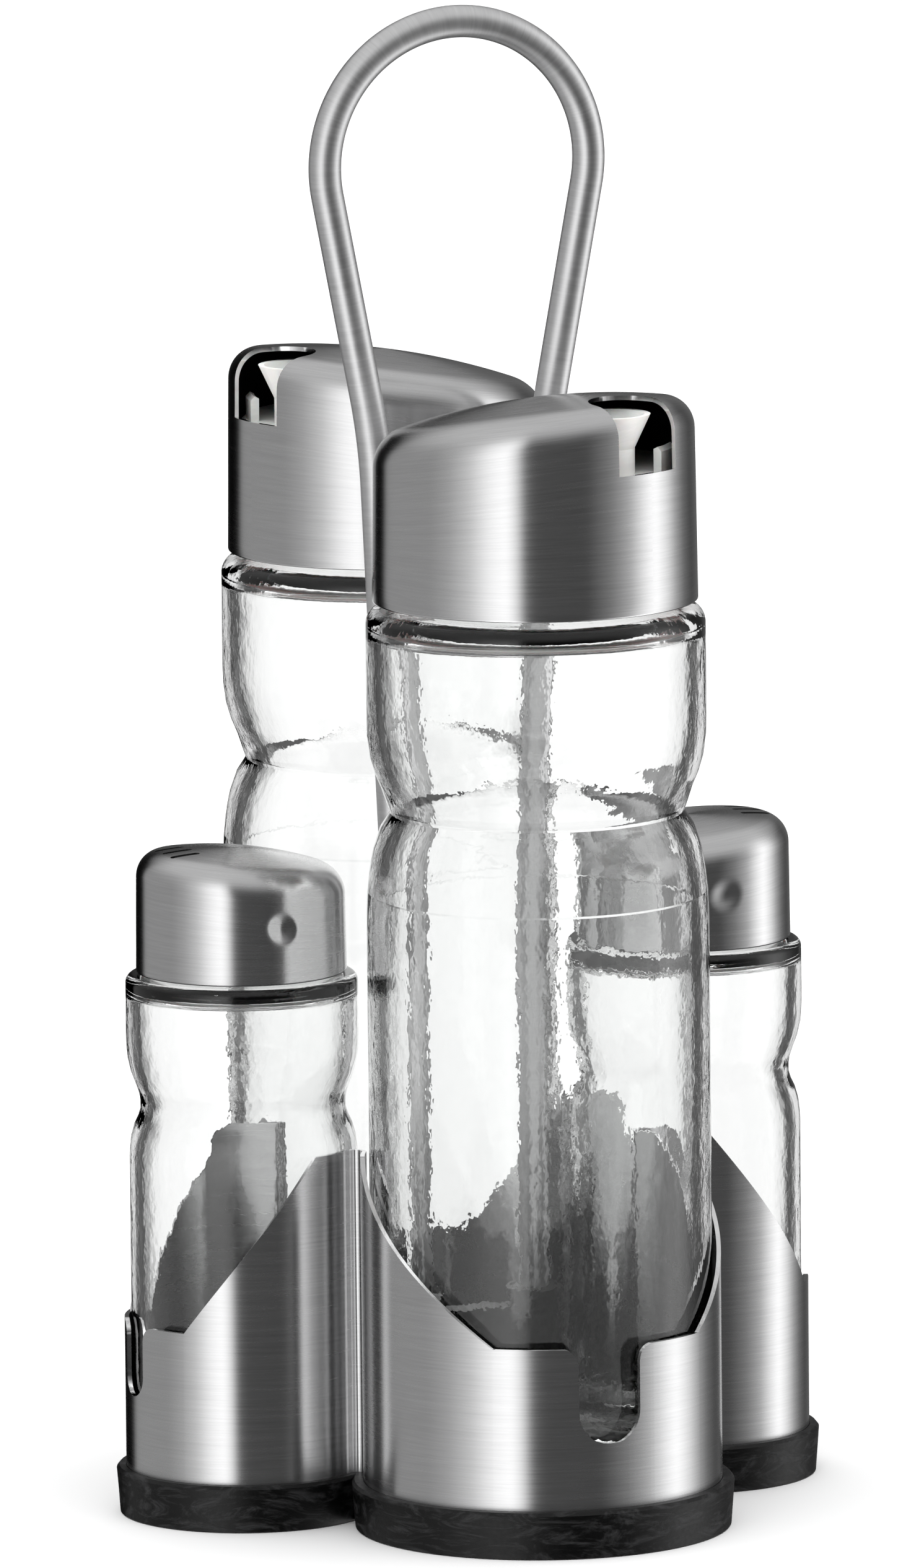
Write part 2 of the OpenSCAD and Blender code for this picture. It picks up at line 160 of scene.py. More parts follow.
def plastic(name, dark, light, rough, scuff, grain, sub=0.0, shine=0.5):
    """Moulded plastic with lighter scuff marks and a fine grain."""
    m, nt, b = new_mat(name)
    swirl = noise(nt, coords(nt, "Object", (70, 70, 220)), 1.0, 6.0, 0.72, 3.0)
    fine = noise(nt, coords(nt, "Object", (1400, 1400, 1400)), 1.0, 2.0, 0.5)
    nt.links.new(ramp(nt, swirl, [(0.48, dark), (0.68, light)]), b.inputs["Base Color"])
    surface = weighed(nt, swirl, scuff, fine, 1 - scuff)
    lo, hi = rough
    nt.links.new(ramp(nt, surface, [(0.3, grey(lo)), (0.7, grey(hi))]), b.inputs["Roughness"])
    bump(nt, b, surface, grain, 0.6)
    b.inputs["Specular IOR Level"].default_value = shine
    if sub:
        b.inputs["Subsurface Weight"].default_value = sub
        b.inputs["Subsurface Scale"].default_value = 0.002
    return m


def silicone():
    m, nt, b = new_mat("milky_silicone")
    n = noise(nt, coords(nt, "Object", (260, 260, 260)), 1.0, 3.0)
    shades = [(0.3, (0.72, 0.74, 0.75)), (0.7, (0.82, 0.83, 0.84))]
    nt.links.new(ramp(nt, n, shades), b.inputs["Base Color"])
    nt.links.new(ramp(nt, n, [(0.3, grey(0.35)), (0.7, grey(0.5))]), b.inputs["Roughness"])
    b.inputs["Transmission Weight"].default_value = 0.35
    b.inputs["IOR"].default_value = 1.42
    bump(nt, b, n, 0.00004, 0.5)
    return m


def glass():
    """Thick pressed glass: slow ripples and a fine pebbled skin."""
    m, nt, b = new_mat("clear_thick_glass")
    wave = noise(nt, coords(nt, "Object", (48, 48, 22)), 1.0, 1.5, 0.4, 0.2)
    seed = noise(nt, coords(nt, "Object", (520, 520, 380)), 1.0, 2.0, 0.5)
    ripple = weighed(nt, wave, 0.88, seed, 0.12)
    tints = [(0.3, (0.968, 0.972, 0.97)), (0.7, (0.984, 0.987, 0.985))]
    nt.links.new(ramp(nt, seed, tints), b.inputs["Base Color"])
    nt.links.new(ramp(nt, seed, [(0.35, grey(0.0)), (0.8, grey(0.02))]), b.inputs["Roughness"])
    b.inputs["Transmission Weight"].default_value = 1.0
    b.inputs["IOR"].default_value = 1.5
    bump(nt, b, ripple, 0.0006, 0.5)
    return m


STEEL = brushed("brushed_steel_skin", (0.54, 0.64), (0.23, 0.3), 0.85)
# edge steel: lower roughness for the polish, and a lighter base colour as a painted highlight standing in
# for the rounding of the cut and rolled edges
EDGE_HIGHLIGHT_STEEL = brushed("polished_edge_painted_highlight", (0.7, 0.82), (0.1, 0.2), 0.0, 60, 300, 0.00001)
ROD = brushed("satin_rod_steel", (0.62, 0.76), (0.36, 0.5), 0.0, 700, 90, 0.00002)
SCREW = brushed("zinc_screw_steel", (0.42, 0.55), (0.25, 0.4), 0.0, 900, 900, 0.00001, uv=False)
SOOT, SCUFF = (0.0015, 0.0015, 0.0015), (0.028, 0.028, 0.029)
BLACK = plastic("black_satin_plastic", SOOT, SCUFF, (0.3, 0.55), 0.7, 0.00008, 0.0, 0.3)
# near-black painted shade: put on the upper inside of the steel caps and on the cut walls of the shaker
# slots, where shade falls
SHADE_BLACK = plastic("painted_shade_black", (0.004, 0.004, 0.004), (0.01, 0.01, 0.011), (0.5, 0.7), 0.5, 0.00004)
MILK, CHALK = (0.86, 0.86, 0.84), (0.92, 0.92, 0.9)
WHITE = plastic("white_moulded_plastic", MILK, CHALK, (0.32, 0.45), 0.5, 0.00002, 0.15)
SILICONE = silicone()
GLASS = glass()


# ---------------------------------------------------------------- mesh tools
def arc(cx, cz, r, a0, a1, n):
    angles = [math.radians(a0 + (a1 - a0) * i / n) for i in range(n + 1)]
    return [(cx + r * math.cos(a), cz + r * math.sin(a)) for a in angles]


def curve_value(a, b, c, d, t):
    """Catmull-Rom value between b and c."""
    return 0.5 * (2 * b + (c - a) * t + (2 * a - 5 * b + 4 * c - d) * t * t + (3 * b - a - 3 * c + d) * t**3)


def smooth_line(pts, step):
    """Smooth curve through the points, about one point a step."""
    out = []
    last = len(pts) - 1
    for i in range(last):
        p0, p1, p2, p3 = pts[max(i - 1, 0)], pts[i], pts[i + 1], pts[min(i + 2, last)]
        k = max(1, int(math.dist(p1, p2) / step))
        for j in range(k):
            out.append(tuple(curve_value(a, b, c, d, j / k) for a, b, c, d in zip(p0, p1, p2, p3)))
    out.append(pts[-1])
    return out


def shade(me, angle):
    me.polygons.foreach_set("use_smooth", [True] * len(me.polygons))
    me.set_sharp_from_angle(angle=math.radians(angle))


def make(name, verts, faces, mats, body, node, uvs, mat_of=None, angle=40):
    """One piece that rides on a body and stands for a CAD node. Points are in mm, UVs in metres."""
    me = bpy.data.meshes.new(name)
    me.from_pydata([Vector(v) * MM for v in verts], [], faces)
    for m in mats:
        me.materials.append(m)
    layer = me.uv_layers.new(name="UVMap")
    for poly in me.polygons:
        for li, uv in zip(poly.loop_indices, uvs[poly.index]):
            layer.data[li].uv = uv
    if mat_of is not None:
        for poly in me.polygons:
            poly.material_index = mat_of[poly.index]
    me.validate()
    ob = bpy.data.objects.new(name, me)
    scene.collection.objects.link(ob)
    shade(me, angle)
    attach(ob, body)
    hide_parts(node)
    return ob


def lathe(profile, n, mat_of=None):
    """Turns (r, z) points about Z. Returns verts, faces, UVs in metres and material indexes."""
    verts, faces, uvs, mats = [], [], [], []
    rows, run = [], [0.0]
    steps = [2 * math.pi * k / n for k in range(n)]
    for i, (r, z) in enumerate(profile):
        if i:
            run.append(run[-1] + math.dist(profile[i - 1], profile[i]) * MM)
        if r < 1e-6:
            rows.append([len(verts)] * n)
            verts.append((0, 0, z))
        else:
            rows.append([len(verts) + k for k in range(n)])
            verts += [(r * math.cos(a), r * math.sin(a), z) for a in steps]
    rad = max(r for r, _ in profile) * MM
    for i in range(len(rows) - 1):
        for k in range(n):
            q = (k + 1) % n
            u0, u1 = 2 * math.pi * k / n * rad, 2 * math.pi * (k + 1) / n * rad
            v0, v1 = run[i], run[i + 1]
            f = [rows[i][k], rows[i][q], rows[i + 1][q], rows[i + 1][k]]
            t = [(u0, v0), (u1, v0), (u1, v1), (u0, v1)]
            if f[0] == f[1]:
                f, t = [f[0], f[2], f[3]], [t[0], t[2], t[3]]
            elif f[2] == f[3]:
                f, t = f[:3], t[:3]
            faces.append(f)
            uvs.append(t)
            mats.append(mat_of(i) if mat_of else 0)
    return verts, faces, uvs, mats


def place(verts, at, turn=0.0):
    c, s = math.cos(math.radians(turn)), math.sin(math.radians(turn))
    return [(at[0] + x * c - y * s, at[1] + x * s + y * c, z) for x, y, z in verts]


def carve(ob, cutters, angle=40):
    """Cuts the cutters out of ob and keeps the result as its mesh."""
    for c in cutters:
        md = ob.modifiers.new("cut", "BOOLEAN")
        md.operation = "DIFFERENCE"
        md.solver = "EXACT"
        md.object = c
    dg = bpy.context.evaluated_depsgraph_get()
    me = bpy.data.meshes.new_from_object(ob.evaluated_get(dg))
    ob.modifiers.clear()
    old = ob.data
    ob.data = me
    bpy.data.meshes.remove(old)
    for c in cutters:
        bpy.data.objects.remove(c)
    shade(me, angle)


def prism(plan, z0, z1, at, turn, mat):
    n = len(plan)
    verts = [(x, y, z0) for x, y in plan] + [(x, y, z1) for x, y in plan]
    faces = [list(range(n))[::-1], list(range(n, 2 * n))]
    faces += [[i, (i + 1) % n, n + (i + 1) % n, n + i] for i in range(n)]
    me = bpy.data.meshes.new("cutter")
    me.from_pydata([Vector(v) * MM for v in place(verts, at, turn)], [], faces)
    me.materials.append(mat)
    ob = bpy.data.objects.new("cutter", me)
    scene.collection.objects.link(ob)
    return ob


def centre(node):
    """Middle of a node in plan, and its lowest and highest point, in mm."""
    lo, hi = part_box(node)
    return ((lo.x + hi.x) / 2 / MM, (lo.y + hi.y) / 2 / MM, lo.z / MM, hi.z / MM)


# ---------------------------------------------------------------- glass bottles
def bottle(node, body, outer, inner, step, n):
    """Closed lathe of the outside, the rim and the inside of a glass."""
    x, y, _, _ = centre(node)
    prof = smooth_line(outer, step)[:-1] + smooth_line(outer[-1:] + inner, step)
    prof[0], prof[-1] = (0, prof[0][1]), (0, prof[-1][1])
    verts, faces, uvs, _ = lathe(prof, n)
    return make(node + "_glass", place(verts, (x, y)), faces, [GLASS], body, node, uvs)


def cruet_glass(node, body):
    _, _, z0, z1 = centre(node)
    foot = [(0, z0 + 1.5), (8, z0 + 1.45), (16, z0 + 1.2), (22, z0 + 0.6), (25.4, z0 + 0.05), (27.2, z0)]
    straight = [(31.4, 20), (31.4, 60), (31.4, 100), (31.4, 110), (31.35, 114.5), (31.2, 118)]
    waist = [(30.8, 121.8), (30, 126.2), (28.7, 129.9), (27.4, 131.9), (26.92, 132.7), (27.4, 134)]
    bulge = [(28.5, 137.4), (29.6, 140), (30.5, 143), (31, 146.8), (31.1, 150), (31.1, 163)]
    neck = [(27.2, 170.95), (25.2, 171.1), (24.2, 171.6), (24, 173), (24, z1 - 0.8)]
    outer = foot + arc(27.4, z0 + 4, 4, -88, 0, 6) + straight + waist + bulge
    outer += arc(27.7, 167.4, 3.4, 4, 76, 7) + neck + arc(23.2, z1 - 0.8, 0.8, 10, 90, 3)
    neck_in = [(21, 176), (21, 171.5), (21.5, 169.4), (22.9, 168)]
    bulge_in = [(28.1, 160), (28.1, 151), (27.9, 147), (27.2, 143), (26, 139.4), (24.6, 136.2), (23.7, 134)]
    waist_in = [(23.5, 132.8), (23.8, 131.6), (24.7, 129.4), (26.2, 126.2), (27.3, 122), (27.95, 117)]
    inner = arc(21.8, z1 - 0.8, 0.8, 90, 170, 3) + neck_in + arc(25.1, 164.5, 3, 76, 4, 6) + bulge_in
    inner += waist_in + [(28.2, 112), (28.2, 60), (28.2, 24)] + arc(23.2, z0 + 13, 5, 0, -66, 6)
    inner += [(20, z0 + 7.9), (12, z0 + 7.2), (0, z0 + 7)]
    return bottle(node, body, outer, inner, 2.0, 144)


def shaker_glass(node, body):
    _, _, z0, z1 = centre(node)
    foot = [(0, z0 + 1.2), (7, z0 + 1.15), (13, z0 + 0.7), (16.4, z0 + 0.05), (17.6, z0)]
    straight = [(21, 14), (21, 40), (21, 58), (21, 64), (20.95, 67.6), (20.65, 70.2), (20.05, 72.3)]
    waist = [(19.3, 73.9), (18.92, 75.2), (18.9, 76.9), (19.1, 78.2), (19.75, 80.1), (20.55, 82.2)]
    bulge = [(21.15, 84.8), (21.38, 88), (21.4, 93)]
    neck = [(18.4, 100.4), (16.2, 100.4), (14.9, 100.7), (14.5, 102), (14.5, z1 - 0.7)]
    outer = foot + arc(18, z0 + 3, 3, -88, 0, 6) + straight + waist + bulge
    outer += arc(19.8, 98.8, 1.6, 4, 84, 6) + neck + arc(13.8, z1 - 0.7, 0.7, 10, 90, 3)
    neck_in = [(11.5, 104), (11.5, 100.6), (11.9, 98.8), (13, 98)]
    bulge_in = [(18.8, 92), (18.8, 88), (18.5, 84.6), (17.8, 81.6), (16.9, 79), (16.4, 76.8)]
    waist_in = [(16.4, 75.2), (16.8, 73.4), (17.6, 70.4), (18.2, 67), (18.4, 62), (18.4, 56)]
    inner = arc(12.2, z1 - 0.7, 0.7, 90, 170, 3) + neck_in + arc(16.8, 95.6, 2, 80, 4, 5) + bulge_in
    inner += waist_in + [(18.4, 40), (18.4, 20)] + arc(14.4, z0 + 10, 4, 0, -66, 6)
    inner += [(11.4, z0 + 5.8), (6, z0 + 5.2), (0, z0 + 5)]
    return bottle(node, body, outer, inner, 1.6, 128)


# ---------------------------------------------------------------- steel caps
# skirt radius and its draft, shoulder rounding, dome radius, top height, rise of the slant per mm across
CRUET_CAP = {"r": 29.8, "draft": 0.4, "round": 7.0, "dome": 120.0, "top": 208.9, "slope": 0.16, "sides": 192}
SHAKER_CAP = {"r": 19.4, "draft": 0.2, "round": 5.5, "dome": 70.0, "top": 123.6, "slope": 0.1, "sides": 240}
WINDOW = {"out": 24, "half": 7.4, "sill": 197.6, "past": 42, "above": 250}
SLOT = {"start": 10.2, "end": 14.6, "r": 0.65, "gap": 4.0, "floor": 117.5, "above": 140}
DIMPLE = {"up": 10.4, "r": 3.7, "deep": 0.75}
LIP = 0.35
# share of the cap's height above which the inner skin is painted near-black as shade
SHADE_FROM = 0.4


def cap_skin(size, z0, inset, steps):
    """Outline of a cap from its lower edge to the top, and the height where the shoulder starts."""
    r, draft = size["r"], size["draft"]
    rt = r - draft - inset
    rnd, dome, top = size["round"] - inset, size["dome"] - inset, size["top"] - inset
    lean = math.degrees(math.asin((rt - rnd) / (dome - rnd)))
    cz = top - dome + (dome - rnd) * math.cos(math.radians(lean))
    side = [(r - inset - draft * i / steps, z0 + (cz - z0) * i / steps) for i in range(steps)]
    crown = arc(0, top - dome, dome, 90 - lean * 13 / 14, 90, 13)
    crown[-1] = (0, crown[-1][1])
    return side + arc(rt - rnd, cz, rnd, 0, 90 - lean, 14) + crown, cz


def press_dimple(px, py, pz, facing, z0):
    """Moves a point of the skirt inwards where the round dimple is pressed in."""
    ca, sa = math.cos(math.radians(facing)), math.sin(math.radians(facing))
    if px * ca + py * sa <= 0:
        return px, py
    away = math.hypot(-px * sa + py * ca, pz - z0 - DIMPLE["up"]) / DIMPLE["r"]
    push = DIMPLE["deep"] * 0.5 * (1 + math.cos(math.pi * min(1.0, away)))
    return px - ca * push, py - sa * push


def cap(name, node, body, turn, size, dimple=None):
    """Sheet-metal cap: outer skin, rolled lower edge, inner skin, slanted top."""
    x, y, z0, _ = centre(node)
    steps = 14 if dimple is None else 44
    outer, cz = cap_skin(size, z0 + LIP, 0.0, steps)
    inner, _ = cap_skin(size, z0 + LIP, SHEET, steps)
    half = SHEET / 2
    rolled = [
        (size["r"] - half + half * math.cos(math.radians(t)), z0 + LIP + LIP * math.sin(math.radians(t)))
        for t in (-150, -120, -90, -60, -30)
    ]
    prof = inner[::-1] + rolled + outer
    lip_from, lip_to = len(inner) - 1, len(inner) + len(rolled)
    shade_z = z0 + SHADE_FROM * (size["top"] - z0)

    # inner skin: painted shade black high up, white lower down; rolled lower edge: edge steel with its
    # painted highlight; outer skin: brushed steel
    def which(i):
        if i < lip_from:
            return 1 if prof[i][1] > shade_z else 3
        return 2 if i < lip_to else 0

    verts, faces, uvs, mats = lathe(prof, size["sides"], which)
    out = []
    for px, py, pz in verts:
        if dimple is not None:
            px, py = press_dimple(px, py, pz, dimple, z0)
        # the slant grows from 4 mm above the lower edge to 6 mm below the shoulder
        w = min(1.0, max(0.0, (pz - z0 - 4) / (cz - z0 - 10)))
        out.append((px, py, pz + size["slope"] * px * w * w * (3 - 2 * w)))
    skins = [STEEL, SHADE_BLACK, EDGE_HIGHLIGHT_STEEL, WHITE]
    return make(name, place(out, (x, y), turn), faces, skins, body, node, uvs, mats)


def cruet_cap(name, node, body, turn):
    ob = cap(name, node, body, turn, CRUET_CAP)
    x, y, _, _ = centre(node)
    half = WINDOW["half"]
    plan = arc(WINDOW["out"], 0, half, 90, 270, 28) + [(WINDOW["past"], -half), (WINDOW["past"], half)]
    # the window's cut faces get the edge steel with its painted highlight
    carve(ob, [prism(plan, WINDOW["sill"], WINDOW["above"], (x, y), turn, EDGE_HIGHLIGHT_STEEL)])


def shaker_cap(name, node, body, turn, dimple):
    ob = cap(name, node, body, turn, SHAKER_CAP, dimple)
    x, y, _, _ = centre(node)
    cuts = []
    for i in (-1, 0, 1):
        side = i * SLOT["gap"]
        plan = arc(SLOT["start"], side, SLOT["r"], 90, 270, 10)
        plan += arc(SLOT["end"], side, SLOT["r"], -90, 90, 10)
        # the slot cutters carry the painted shade black onto the cut walls of the slots
        cuts.append(prism(plan, SLOT["floor"], SLOT["above"], (x, y), turn, SHADE_BLACK))
    carve(ob, cuts)


# ---------------------------------------------------------------- steel wall
# edge height beside the notch, angle where the slant reaches the peak, notch width and depth
BIG_CUP = {"low": 38.4, "rise_to": 111.0, "width": 12.1, "deep": 17.9}
SMALL_CUP = {"low": 36.4, "rise_to": 105.0, "width": 8.0, "deep": 13.6}


def edge_height(angle, s, cup, z_peak):
    """Height of the sheet's upper edge at an angle from the middle of a cup, s mm away from it."""
    half, low = cup["width"] / 2, cup["low"]
    if s < half - 1e-6:
        return low - cup["deep"] + half - math.sqrt(max(0.0, half**2 - s * s))
    if s < half + NOTCH_LIP_R:
        left = NOTCH_LIP_R - (s - half)
        return low - NOTCH_LIP_R + math.sqrt(max(0.0, NOTCH_LIP_R**2 - left**2))
    if angle <= PEAK_FLAT:
        return low
    return low + (z_peak - low) * min(1.0, (angle - PEAK_FLAT) / (cup["rise_to"] - PEAK_FLAT))


def column_angles(r, span, cup):
    """Angles of the wall's columns over one cup, closer together round the notch."""
    half, lim = cup["width"] / 2, cup["rise_to"]
    side = math.degrees(half / r)
    fine = [math.degrees(half * math.sin(math.pi / 2 * k / 10) / r) for k in range(1, 11)]
    for k in range(1, 9):
        fine.append(math.degrees((half + NOTCH_LIP_R * (1 - math.cos(math.pi / 2 * k / 8))) / r))
    angs = [-span + 2 * span * i / 150 for i in range(151)]
    angs += fine + [-e for e in fine] + [PEAK_FLAT, -PEAK_FLAT, lim, -lim]
    clean = []
    for a in sorted(set(round(a, 5) for a in angs if abs(a) <= span + 1e-6)):
        if clean and a - clean[-1] < 0.12:
            if all(abs(abs(a) - key) > 0.01 for key in (side, PEAK_FLAT, lim)):
                continue
            clean.pop()
        clean.append(a)
    return clean


def cup_columns(at, r, facing, span, cup, z_peak, s0):
    """Columns of one cup, each (x, y, nx, ny, run, z), and the run at its end."""
    half, cols = cup["width"] / 2, []
    side = math.degrees(half / r)
    for a in column_angles(r, span, cup):
        t, s = math.radians(facing + a), math.radians(a) * r
        nx, ny = math.cos(t), math.sin(t)
        row = (at[0] + r * nx, at[1] + r * ny, nx, ny, s0 + s + math.radians(span) * r)
        if abs(abs(a) - side) < 0.01:
            upright = [cup["low"] - NOTCH_LIP_R, cup["low"] - cup["deep"] + half]
            cols += [(*row, z) for z in (upright if a < 0 else upright[::-1])]
        else:
            cols.append((*row, edge_height(abs(a), abs(s), cup, z_peak)))
    return cols, s0 + 2 * math.radians(span) * r


def fold_columns(at, a0, a1, z_peak, s0):
    """Columns of the fold between two cups."""
    length = math.radians(abs(a1 - a0)) * FOLD_R
    cols = []
    for i in range(1, 16):
        t = math.radians(a0 + (a1 - a0) * i / 16)
        nx, ny = math.cos(t), math.sin(t)
        cols.append((at[0] + FOLD_R * nx, at[1] + FOLD_R * ny, -nx, -ny, s0 + length * i / 16, z_peak))
    return cols, s0 + length


def wall_columns(hi):
    """All columns once round the wall, and the full run."""
    z_peak = hi.z / MM
    dy, dx = hi.y / MM - BIG_CUP_R, hi.x / MM - SMALL_CUP_R
    gap = math.hypot(dx, dy)
    fa, fb = BIG_CUP_R + FOLD_R, SMALL_CUP_R + FOLD_R
    fu = (fa * fa - fb * fb + gap * gap) / (2 * gap)
    fv = math.sqrt(fa * fa - fu * fu)
    fx, fy = (dx * fu + dy * fv) / gap, dy - (dy * fu - dx * fv) / gap
    span_big = 90 + math.degrees(math.atan2(dy - fy, fx))
    span_small = math.degrees(math.atan2(fy, fx - dx))
    order = [
        ((0, -dy), BIG_CUP_R, -90, span_big, BIG_CUP, (fx, -fy)),
        ((dx, 0), SMALL_CUP_R, 0, span_small, SMALL_CUP, (fx, fy)),
        ((0, dy), BIG_CUP_R, 90, span_big, BIG_CUP, (-fx, fy)),
        ((-dx, 0), SMALL_CUP_R, 180, span_small, SMALL_CUP, (-fx, -fy)),
    ]
    cols, s = [], 0.0
    for i, (at, r, facing, span, cup, fold) in enumerate(order):
        part, s = cup_columns(at, r, facing, span, cup, z_peak, s)
        cols += part
        after = order[(i + 1) % 4][0]
        a0 = math.degrees(math.atan2(at[1] - fold[1], at[0] - fold[0]))
        a1 = math.degrees(math.atan2(after[1] - fold[1], after[0] - fold[0]))
        while a1 > a0:
            a1 -= 360
        part, s = fold_columns(fold, a0, a1, z_peak, s)
        cols += part
    return cols, s


def wall(name, node, body):
    lo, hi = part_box(node)
    cols, full_run = wall_columns(hi)
    z_low = lo.z / MM
    verts, faces, uvs, mats = [], [], [], []

    def panel(corners, uv, mat):
        faces.append(corners)
        uvs.append(uv)
        mats.append(mat)

    for x, y, nx, ny, _, z in cols:
        xi, yi = x - nx * SHEET, y - ny * SHEET
        verts += [(x, y, z_low), (x, y, z), (xi, yi, z), (xi, yi, z_low)]
    for i, col in enumerate(cols):
        j = (i + 1) % len(cols)
        s0, s1 = col[4] * MM, (cols[j][4] if j else full_run) * MM
        z0, z1, zb = col[5] * MM, cols[j][5] * MM, z_low * MM
        a, b = 4 * i, 4 * j
        if abs(s0 - s1) >= 1e-7:
            panel([a, b, b + 1, a + 1], [(s0, zb), (s1, zb), (s1, z1), (s0, z0)], 0)
            panel([a + 2, b + 2, b + 3, a + 3], [(s0, z0), (s1, z1), (s1, zb), (s0, zb)], 0)
            panel([a + 3, b + 3, b, a], [(s0, zb), (s1, zb), (s1, zb), (s0, zb)], 1)
        panel([a + 1, b + 1, b + 2, a + 2], [(s0, z0), (s1, z1), (s1, z1), (s0, z0)], 1)
    # the wall's rim and underside strips get the edge steel with its painted highlight
    make(name, verts, faces, [STEEL, EDGE_HIGHLIGHT_STEEL], body, node, uvs, mats, 50)


# ---------------------------------------------------------------- rod
def bend(at, a, b, rad, n):
    """Arc that turns a line from lean a to lean b, with its corner at the given point."""
    back = rad * math.tan((b - a) / 2)
    x, z = at[0] - back * math.sin(a), at[1] - back * math.cos(a)
    turns = [a + (b - a) * i / n for i in range(n + 1)]
    return [(x + rad * (math.cos(a) - math.cos(t)), z + rad * (math.sin(t) - math.sin(a))) for t in turns]


def rod_path(foot, loop_r, loop_z):
    """Middle line of the bent rod: right leg, loop, left leg."""
    tan_x, tan_z = loop_r * math.cos(LOOP_LEAN), loop_z - loop_r * math.sin(LOOP_LEAN)
    low, up = math.tan(LEG_LEAN), math.tan(LOOP_LEAN)
    # corner where the leg's line meets the loop's tangent line
    kz = (tan_x - up * tan_z - LEG_HALF + low * LEG_BEND_Z) / (low - up)
    kx = LEG_HALF + low * (kz - LEG_BEND_Z)
    straight = LEG_BEND_Z - 4
    pts = [(LEG_HALF, foot + (straight - foot) * i / 12) for i in range(13)]
    pts += bend((LEG_HALF, LEG_BEND_Z), 0, LEG_LEAN, LEG_BEND_R, 4)
    pts += [(LEG_HALF + low * (z - LEG_BEND_Z), z) for z in range(122, 184, 8)]
    pts += bend((kx, kz), LEG_LEAN, LOOP_LEAN, LOOP_BEND_R, 10)
    pts += [(tan_x - up * (tan_z - z), z) for z in range(int(kz) + 16, int(tan_z) - 2, 7)]
    right = pts + arc(0, loop_z, loop_r, -math.degrees(LOOP_LEAN), 90, 60)
    return right + [(-x, z) for x, z in right[-2::-1]]


def rod(name, node, body):
    lo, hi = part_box(node)
    r = min((hi.y - lo.y) / 2 / MM, ROD_R)
    loop_r = (hi.x - lo.x) / 2 / MM - r
    path = rod_path(lo.z / MM, loop_r, hi.z / MM - r - loop_r)
    last, sides = len(path) - 1, 40
    verts, runs, run = [], [], 0.0
    for i, (x, z) in enumerate(path):
        if i:
            run += math.dist(path[i - 1], path[i]) * MM
        p, q = path[max(i - 1, 0)], path[min(i + 1, last)]
        along = Vector((q[0] - p[0], 0, q[1] - p[1])).normalized()
        across = Vector((along.z, 0, -along.x))
        # how far each ring is drawn in and pushed along; the ends have a 0.5 mm chamfer
        rings = [(0, 0)]
        if i == 0:
            rings = [(0.5, 0), (0, 0.5)]
        elif i == last:
            rings = [(0, -0.5), (0.5, 0)]
        for shrink, push in rings:
            runs.append(run)
            c = Vector((x, 0, z)) + along * push
            for k in range(sides):
                t = 2 * math.pi * k / sides
                verts.append(c + (across * math.cos(t) + Vector((0, math.sin(t), 0))) * (r - shrink))
    faces, uvs = [], []
    for i in range(len(runs) - 1):
        for k in range(sides):
            a, b = i * sides + k, i * sides + (k + 1) % sides
            faces.append([a, b, b + sides, a + sides])
            u0, u1 = 2 * math.pi * k / sides * r * MM, 2 * math.pi * (k + 1) / sides * r * MM
            uvs.append([(runs[i], u0), (runs[i], u1), (runs[i + 1], u1), (runs[i + 1], u0)])
    end = (len(runs) - 1) * sides
    faces += [list(range(sides))[::-1], list(range(end, end + sides))]
    uvs += [[(0, 0)] * sides] * 2
    ob = make(name, verts, faces, [ROD], body, node, uvs)
    bm = bmesh.new()
    bm.from_mesh(ob.data)
    bmesh.ops.recalc_face_normals(bm, faces=bm.faces)
    bm.to_mesh(ob.data)
    bm.free()
    shade(ob.data, 50)


# ---------------------------------------------------------------- build
for n in ("oil", "vinegar"):
    cruet_glass(n + "_bottle", n + "_cruet")
for n in ("salt", "pepper"):
    shaker_glass(n + "_bottle", n + "_shaker")
cruet_cap("oil_steel_cap", "oil_cap_shell", "oil_cap", OIL_TURN)
cruet_cap("vinegar_steel_cap", "vinegar_cap_shell", "vinegar_cap", VINEGAR_TURN)
shaker_cap("salt_steel_cap", "salt_cap_shell", "salt_cap", 180, 92)
shaker_cap("pepper_steel_cap", "pepper_cap_shell", "pepper_cap", 0, -90)
wall("steel_cup_wall", "holder_wall", "stand")
rod("bent_rod_loop", "handle_loop", "stand")


def dress(node, mat, bevel=0.0):
    """Material, and a softened edge, on a CAD node that is kept."""
    ob = nodes[node]
    ob.data.materials.clear()
    ob.data.materials.append(mat)
    if bevel:
        bv = ob.modifiers.new("soften", "BEVEL")
        bv.width = bevel * MM
        bv.segments = 2
        bv.limit_method = "ANGLE"
        bv.angle_limit = math.radians(40)
        bv.harden_normals = False


dress("base_tray", BLACK, 0.3)
dress("handle_socket", BLACK, 0.4)
dress("handle_screws", SCREW)
dress("handle_washers", SCREW)
for n in ("oil", "vinegar"):
    dress(n + "_pourer", WHITE, 0.15)
    dress(n + "_seal_ring", SILICONE)
for n in ("salt", "pepper"):
    dress(n + "_gasket", SILICONE)
    dress(n + "_cap_liner", WHITE)

# ---------------------------------------------------------------- floor
FLOOR_R = 14
FLOOR_SIDES = 96
me = bpy.data.meshes.new("studio_floor")
rim = [(x, y, -0.0002) for x, y in arc(0, 0, FLOOR_R, 0, 360, FLOOR_SIDES)[:-1]]
me.from_pydata(rim, [], [list(range(FLOOR_SIDES))])
floor = bpy.data.objects.new("studio_floor", me)
scene.collection.objects.link(floor)
floor_mat, nt, shader = new_mat("pale_floor")
patches = noise(nt, coords(nt, "Object", (2, 2, 2)), 1.0, 2.0)
pale = [(0.3, (0.9, 0.9, 0.9)), (0.7, (0.92, 0.92, 0.92))]
nt.links.new(ramp(nt, patches, pale), shader.inputs["Base Color"])
shader.inputs["Roughness"].default_value = 0.9
shader.inputs["Specular IOR Level"].default_value = 0.1
me.materials.append(floor_mat)
floor.visible_glossy = False
floor.visible_transmission = False

